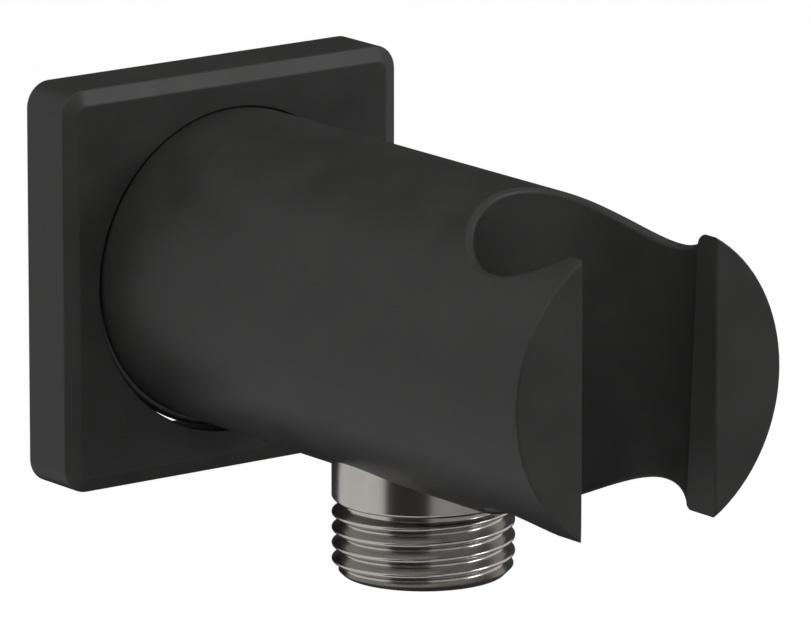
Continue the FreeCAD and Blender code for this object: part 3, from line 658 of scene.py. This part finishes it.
class ELBOW_OT_fork(bpy.types.Operator):
    """Make the round body with its two-armed fork, and soften the outline of its front faces"""
    bl_idname = "elbow.fork"
    bl_label = "Fork Body"

    def execute(self, context):
        sizes = context.scene.elbow_sizes
        fork = copy_solid("holder_body", "fork")
        shortened = FORK_LOW.y + sizes.fork_front
        open_mesh(fork)
        bpy.ops.mesh.bisect(plane_co=(0, shortened, 0), plane_no=(0, -1, 0), clear_outer=True,
                            use_fill=True, threshold=EXACT)
        slot = sizes.slot_width / 2
        tip = math.sqrt(BODY_RADIUS ** 2 - slot ** 2)
        for corner in ((x, shortened, z) for x in (-slot, slot) for z in (-tip, tip)):
            draw_in(fork, Vector(corner), sizes.fork_edge * 3)
        pick(fork, "VERT", lambda point: abs(point.co.y - shortened) < SAME)
        bpy.ops.mesh.remove_doubles(threshold=sizes.fork_edge / 2)
        pick(fork, "FACE", lambda face: on_level(face, 1, shortened))
        bpy.ops.mesh.extrude_region_move(TRANSFORM_OT_translate={"value": (0, FORK_LOW.y - shortened, 0)})
        bpy.ops.mesh.region_to_loop()
        bpy.ops.mesh.bevel(offset=sizes.fork_edge, segments=4, affect="EDGES")
        close_mesh()
        settle_shading(fork)
        coat(fork, named_material("satin_coating", make_satin_black, context.scene.elbow_finish))
        hand_over(fork, "holder_body")
        return {"FINISHED"}


class ELBOW_OT_plate(bpy.types.Operator):
    """Make the square wall plate with its sloping border, its hollow back and its collar"""
    bl_idname = "elbow.plate"
    bl_label = "Wall Plate"

    def execute(self, context):
        sizes = context.scene.elbow_sizes
        middle = (PLATE_LOW.z + PLATE_HIGH.z) / 2
        border = -sizes.plate_depth + sizes.chamfer_depth
        clear_selection()
        bpy.ops.mesh.primitive_cube_add(size=1, location=(0, border / 2, middle),
                                        scale=(sizes.plate_side, -border, sizes.plate_side))
        plate = bpy.context.object
        plate.name = "plate"
        apply_place(plate)
        open_mesh(plate)
        pick(plate, "EDGE", lambda edge: abs(edge.verts[0].co.y - edge.verts[1].co.y) > sizes.plate_wall)
        bpy.ops.mesh.bevel(offset=sizes.plate_corner, segments=12, affect="EDGES")
        pick(plate, "FACE", lambda face: on_level(face, 1, border))
        bpy.ops.mesh.inset(thickness=sizes.chamfer_width, depth=sizes.chamfer_depth)
        pick(plate, "EDGE", lambda edge: on_level(edge, 1, border) or on_level(edge, 1, -sizes.plate_depth))
        bpy.ops.mesh.bevel(offset=sizes.plate_edge, segments=3, affect="EDGES")
        pick(plate, "FACE", lambda face: on_level(face, 1, 0))
        bpy.ops.mesh.inset(thickness=sizes.plate_wall)
        bpy.ops.mesh.extrude_region_move(
            TRANSFORM_OT_translate={"value": (0, sizes.plate_wall - sizes.plate_depth, 0)})
        close_mesh()
        inside = sizes.plate_wall - sizes.plate_depth
        collar = add_drum("collar", sizes.plate_hole + sizes.collar_wall, inside - OVERSHOOT,
                          inside + sizes.collar_depth, (0, 0, middle), faces=sizes.turned_steps)
        cut_away(plate, collar, "UNION")
        hole = add_drum("hole", sizes.plate_hole, -2 * sizes.plate_depth, sizes.plate_depth, (0, 0, middle),
                        faces=sizes.turned_steps)
        cut_away(plate, hole)
        open_mesh(plate)
        pick(plate, "EDGE", lambda edge: on_level(edge, 1, -sizes.plate_depth) and all(
            abs(math.hypot(corner.co.x, corner.co.z - middle) - sizes.plate_hole) < 5 * SAME
            for corner in edge.verts))
        bpy.ops.mesh.bevel(offset=sizes.hole_edge, segments=4, affect="EDGES")
        close_mesh()
        settle_shading(plate)
        coat(plate, named_material("satin_coating", make_satin_black, context.scene.elbow_finish))
        hand_over(plate, "wall_plate")
        return {"FINISHED"}


class ELBOW_OT_plate_ring(bpy.types.Operator):
    """Make the rubber ring that the plate hangs on, squeezed at the top and free below"""
    bl_idname = "elbow.plate_ring"
    bl_label = "Plate Ring"

    def execute(self, context):
        sizes = context.scene.elbow_sizes
        floor = (RING_HIGH.x - RING_LOW.x) / 2 - RING_DEPTH
        clear_selection()
        bpy.ops.mesh.primitive_torus_add(
            major_radius=floor + sizes.ring_cord / 2, minor_radius=sizes.ring_cord / 2,
            major_segments=sizes.turned_steps, minor_segments=24, rotation=(math.pi / 2, 0, 0),
            location=(0, (RING_LOW.y + RING_HIGH.y) / 2, 0))
        ring = bpy.context.object
        ring.name = "hanging_ring"
        apply_place(ring)
        open_mesh(ring)
        for step in range(1, RING_STEPS):
            reach = floor + sizes.ring_cord * step / RING_STEPS
            pick(ring, "VERT", lambda point: math.hypot(point.co.x, point.co.z) > reach)
            bpy.ops.transform.translate(value=(0, 0, -sizes.ring_sag / (RING_STEPS - 1)))
        close_mesh()
        settle_shading(ring, 60)
        coat(ring, named_material("ring_rubber", make_seal_rubber, context.scene.elbow_finish))
        hand_over(ring, "plate_ring")
        return {"FINISHED"}


class ELBOW_OT_hose_nipple(bpy.types.Operator):
    """Turn the nipple under the body and cut its thread for the shower hose"""
    bl_idname = "elbow.hose_nipple"
    bl_label = "Hose Nipple"

    def execute(self, context):
        sizes = context.scene.elbow_sizes
        crest = THREAD_RADIUS / MM
        blank = crest + SPARE
        root = crest - RUN_OUT
        seal = crest - SEAL_GROOVE
        end = HOSE_LOW.z / MM
        top = HOSE_HIGH.z / MM
        run_out = (-21.2, -20.5)
        thread_end = -20.9
        key_end = -26
        neck_bevel = 0.3
        groove = (-11.2, -9.2)
        valve_end = -26.9
        nipple = turn_blank("hose_nipple", [
            (NIPPLE_BORE, end), (blank - LEAD_IN, end), (blank, end + LEAD_IN), (blank, run_out[0]),
            (root, run_out[0]), (root, run_out[1]), (crest - neck_bevel, run_out[1]),
            (crest, run_out[1] + neck_bevel), (crest, groove[0]), (seal, groove[0]), (seal, groove[1]),
            (crest, groove[1]), (crest, top), (VALVE_BORE, top), (VALVE_BORE, valve_end),
            (NIPPLE_BORE, valve_end)], sizes.turned_steps, sizes.turned_edge)
        cutter = thread_cutter(sizes, HOSE_CREST * MM, HOSE_LOW.z - OVERSHOOT, thread_end * MM)
        cut_away(nipple, cutter)
        drill_key(nipple, sizes, HOSE_LOW.z - OVERSHOOT, key_end * MM)
        take(nipple)
        bpy.ops.transform.translate(value=(0, HOSE_AXIS.y, 0))
        apply_place(nipple)
        settle_shading(nipple, 35)
        coat(nipple, make_nickel(context.scene.elbow_finish, "hose_nickel", UPRIGHT))
        hand_over(nipple, "outlet_nipple")
        return {"FINISHED"}


class ELBOW_OT_wall_nipple(bpy.types.Operator):
    """Turn the nipple that joins the pipe in the wall and cut its thread"""
    bl_idname = "elbow.wall_nipple"
    bl_label = "Wall Nipple"

    def execute(self, context):
        sizes = context.scene.elbow_sizes
        crest = THREAD_RADIUS / MM
        blank = crest + SPARE
        root = crest - RUN_OUT
        seal = crest - SEAL_GROOVE
        rim = (WALL_HIGH.x - WALL_LOW.x) / 2 / MM
        end = WALL_HIGH.y / MM
        inner = WALL_LOW.y / MM
        collar = (-2.1, -4.9)
        thread_end = -0.4
        key_depth = 9
        groove = (-13.7, -15.7)
        nipple = turn_blank("wall_nipple", [
            (NIPPLE_BORE, end), (blank - LEAD_IN, end), (blank, end - LEAD_IN), (blank, 0), (root, 0),
            (root, collar[0]), (rim, collar[0]), (rim, collar[1]), (crest, collar[1]),
            (crest, groove[0]), (seal, groove[0]), (seal, groove[1]), (crest, groove[1]),
            (crest, inner), (NIPPLE_BORE, inner)], sizes.turned_steps, sizes.turned_edge)
        cutter = thread_cutter(sizes, WALL_CREST * MM, thread_end * MM, WALL_HIGH.y + OVERSHOOT)
        cut_away(nipple, cutter)
        drill_key(nipple, sizes, WALL_HIGH.y - key_depth * MM, WALL_HIGH.y + OVERSHOOT)
        take(nipple)
        nipple.rotation_euler = (-math.pi / 2, 0, 0)
        apply_place(nipple)
        settle_shading(nipple, 35)
        coat(nipple, make_nickel(context.scene.elbow_finish, "wall_nickel", INTO_WALL))
        hand_over(nipple, "inlet_nipple")
        return {"FINISHED"}


class ELBOW_OT_seals(bpy.types.Operator):
    """Finish the rings, the flat washer and the foam gasket"""
    bl_idname = "elbow.seals"
    bl_label = "Seals"

    def execute(self, context):
        finish = context.scene.elbow_finish
        coat_nodes(["inlet_ring", "outlet_ring", "valve_ring", "poppet_seal"],
                   named_material("ring_rubber", make_seal_rubber, finish))
        coat_nodes(["inlet_washer"], make_washer_rubber(finish))
        coat_nodes(["wall_gasket"], make_foam(finish))
        return {"FINISHED"}


class ELBOW_OT_spring(bpy.types.Operator):
    """Make the valve's spring from a merged copy of its solid, which stands on the guide"""
    bl_idname = "elbow.spring"
    bl_label = "Valve Spring"

    def execute(self, context):
        coils = copy_solid("valve_spring", "coils")
        settle_shading(coils, 60)
        coat(coils, make_spring_steel(context.scene.elbow_finish))
        hand_over(coils, "valve_spring")
        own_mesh(coils)
        return {"FINISHED"}


class ELBOW_OT_valve(bpy.types.Operator):
    """Finish the non-return valve: housing, poppet and guide"""
    bl_idname = "elbow.valve"
    bl_label = "Valve"

    def execute(self, context):
        finish = context.scene.elbow_finish
        coat_nodes(["valve_housing", "valve_poppet", "valve_guide"], make_valve_plastic(finish))
        return {"FINISHED"}


# The studio


def add_soft_light(name, place, target, power, width, height):
    """Adds a rectangular soft light that faces a target."""
    clear_selection()
    facing = (Vector(target) - Vector(place)).to_track_quat("-Z", "Y").to_euler()
    bpy.ops.object.light_add(type="AREA", location=place, rotation=facing)
    light = bpy.context.object
    light.name = name
    light.data.shape = "RECTANGLE"
    light.data.size = width
    light.data.size_y = height
    light.data.energy = power


def add_flag(name, place, turn, width, height, cloth):
    """Sets up a cloth flag beside the part, as photographers do. Only reflections see it."""
    clear_selection()
    bpy.ops.mesh.primitive_plane_add(size=1, location=place, rotation=turn)
    flag = bpy.context.object
    flag.name = name
    flag.scale = (width, height, 1)
    apply_place(flag)
    coat(flag, cloth)
    flag.visible_camera = False
    flag.visible_diffuse = False
    flag.visible_transmission = False
    flag.visible_shadow = False


def background_rays(tree, place):
    """A mask of the rays that see the background: camera, glossy and transmission rays."""
    rays = add_node(tree, "ShaderNodeLightPath", place)
    either = add_node(tree, "ShaderNodeMath", (place[0] + 200, place[1]), operation="MAXIMUM")
    any_of = add_node(tree, "ShaderNodeMath", (place[0] + 400, place[1]), operation="MAXIMUM")
    join(tree, (rays.outputs["Is Camera Ray"], either.inputs[0]),
         (rays.outputs["Is Glossy Ray"], either.inputs[1]), (either.outputs["Value"], any_of.inputs[0]),
         (rays.outputs["Is Transmission Ray"], any_of.inputs[1]))
    return any_of.outputs["Value"]


def make_room(level):
    """The world: even soft light, and plain white where it is seen."""
    world = bpy.data.worlds.new("studio")
    world.use_nodes = True
    tree = world.node_tree
    tree.nodes.clear()
    soft = add_node(tree, "ShaderNodeBackground", (-200, 100), {"Color": (1, 1, 1, 1), "Strength": level})
    white = add_node(tree, "ShaderNodeBackground", (-200, -100), {"Color": (1, 1, 1, 1), "Strength": 1})
    mix = add_node(tree, "ShaderNodeMixShader", (50, 0))
    result = add_node(tree, "ShaderNodeOutputWorld", (250, 0))
    join(tree, (background_rays(tree, (-900, 300)), mix.inputs[0]), (soft.outputs[0], mix.inputs[1]),
         (white.outputs[0], mix.inputs[2]), (mix.outputs[0], result.inputs[0]))
    bpy.context.scene.world = world


def make_floor_paint():
    """Pale floor: keeps a soft shadow, reads white where it is seen, and is clear from below."""
    material, tree, shader, where = start_material("floor_paint")
    shader.inputs["Base Color"].default_value = (0.86, 0.86, 0.86, 1)
    grain = effect(tree, "Fine Grain", (-800, -300), {"Grain Scale": 300.0, "Mottle Scale": 4.0})
    vary_roughness(tree, shader, grain.outputs["Mottle"], 0.75, 0.85)
    glow = add_node(tree, "ShaderNodeEmission", (0, 300), {"Color": (1, 1, 1, 1), "Strength": 1})
    seen = background_rays(tree, (-900, 700))
    part = add_node(tree, "ShaderNodeMath", (-150, 600), {1: 0.97}, operation="MULTIPLY")
    lit = add_node(tree, "ShaderNodeMixShader", (400, 200))
    side = add_node(tree, "ShaderNodeNewGeometry", (400, 500))
    through = add_node(tree, "ShaderNodeBsdfTransparent", (400, -100))
    ends = add_node(tree, "ShaderNodeMixShader", (650, 200))
    result = tree.nodes["Material Output"]
    join(tree, (where, grain.inputs["Vector"]), (seen, part.inputs[0]),
         (part.outputs["Value"], lit.inputs[0]),
         (shader.outputs["BSDF"], lit.inputs[1]), (glow.outputs[0], lit.inputs[2]),
         (side.outputs["Backfacing"], ends.inputs[0]), (lit.outputs[0], ends.inputs[1]),
         (through.outputs[0], ends.inputs[2]), (ends.outputs[0], result.inputs["Surface"]))
    return material


def make_cloth(name, tone):
    """Dull cloth of the flags, with an uneven nap."""
    material, tree, shader, where = start_material(name)
    grain = effect(tree, "Fine Grain", (-800, 100), {"Grain Scale": 400.0, "Mottle Scale": 9.0})
    join(tree, (where, grain.inputs["Vector"]))
    two_tone(tree, shader, grain.outputs["Mottle"], scaled(tone, 0.9), scaled(tone, 1.1))
    shader.inputs["Roughness"].default_value = 1
    shader.inputs["Specular IOR Level"].default_value = 0
    return material


class ELBOW_OT_stage(bpy.types.Operator):
    """Set up the floor, the soft lights, the white room and the camera"""
    bl_idname = "elbow.stage"
    bl_label = "Studio"

    def execute(self, context):
        stage = context.scene.elbow_stage
        clear_selection()
        bpy.ops.mesh.primitive_plane_add(size=14, location=(0, 0, -stage.floor_drop))
        floor = bpy.context.object
        floor.name = "floor"
        apply_place(floor)
        coat(floor, make_floor_paint())
        aim = (0, -0.04, 0)
        add_soft_light("key_light", (-0.75, -0.55, 0.8), aim, stage.key_power, 0.7, 0.5)
        add_soft_light("top_light", (0.1, -0.1, 1.1), aim, stage.top_power, 0.8, 0.8)
        add_soft_light("fill_light", (0.83, -1.02, 0.5), aim, stage.fill_power, 0.4, 0.4)
        dark = make_cloth("dark_cloth", (0.045, 0.045, 0.045))
        grey = make_cloth("grey_cloth", (0.5, 0.5, 0.5))
        upright = math.pi / 2
        add_flag("left_flag", (-0.445, -0.323, 0.4), (upright, 0, math.radians(-54)), 0.585, 1.5, dark)
        add_flag("front_flag", (0.17, -0.575, -0.125), (upright, 0, math.radians(16.5)), 1.14, 0.45, grey)
        add_flag("back_flag", (0.224, 0.332, 0.125), (upright, 0, math.radians(146)), 0.828, 0.95, dark)
        add_flag("floor_flag", (0.36, 0.2, 0.005 - stage.floor_drop), (0, 0, 0), 0.8, 1.1, dark)
        make_room(stage.room)
        clear_selection()
        bpy.ops.object.camera_add(location=CAMERA_PLACE, rotation=CAMERA_TURN)
        camera = bpy.context.object
        camera.name = "camera"
        camera.data.sensor_width = 36
        camera.data.lens = stage.lens
        context.scene.camera = camera
        context.scene.view_settings.view_transform = "Standard"
        clear_selection()
        return {"FINISHED"}


OPERATORS = (ELBOW_OT_fork, ELBOW_OT_plate, ELBOW_OT_plate_ring, ELBOW_OT_hose_nipple, ELBOW_OT_wall_nipple,
             ELBOW_OT_seals, ELBOW_OT_spring, ELBOW_OT_valve, ELBOW_OT_stage)
SETTINGS = (("elbow_sizes", ElbowSizes), ("elbow_finish", ElbowFinish), ("elbow_stage", ElbowStage))


class ELBOW_PT_panel(bpy.types.Panel):
    """Lists the operators and their settings"""
    bl_idname = "ELBOW_PT_panel"
    bl_label = "Outlet Elbow"
    bl_space_type = "VIEW_3D"
    bl_region_type = "UI"
    bl_category = "Outlet Elbow"

    def draw(self, context):
        for operator in OPERATORS:
            self.layout.operator(operator.bl_idname)
        for name, settings in SETTINGS:
            box = self.layout.box()
            for key in settings.__annotations__:
                box.prop(getattr(context.scene, name), key)


def register():
    for kind in (*(settings for name, settings in SETTINGS), *OPERATORS, ELBOW_PT_panel):
        bpy.utils.register_class(kind)
    for name, settings in SETTINGS:
        setattr(bpy.types.Scene, name, PointerProperty(type=settings))


def unregister():
    for name, settings in SETTINGS:
        delattr(bpy.types.Scene, name)
    for kind in (ELBOW_PT_panel, *OPERATORS, *(settings for name, settings in SETTINGS)):
        bpy.utils.unregister_class(kind)


def main():
    """Registers the add-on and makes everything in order."""
    register()
    bpy.ops.elbow.fork()
    bpy.ops.elbow.plate()
    bpy.ops.elbow.plate_ring()
    bpy.ops.elbow.hose_nipple()
    bpy.ops.elbow.wall_nipple()
    bpy.ops.elbow.seals()
    bpy.ops.elbow.spring()
    bpy.ops.elbow.valve()
    bpy.ops.elbow.stage()


if __name__ == "__main__":
    main()
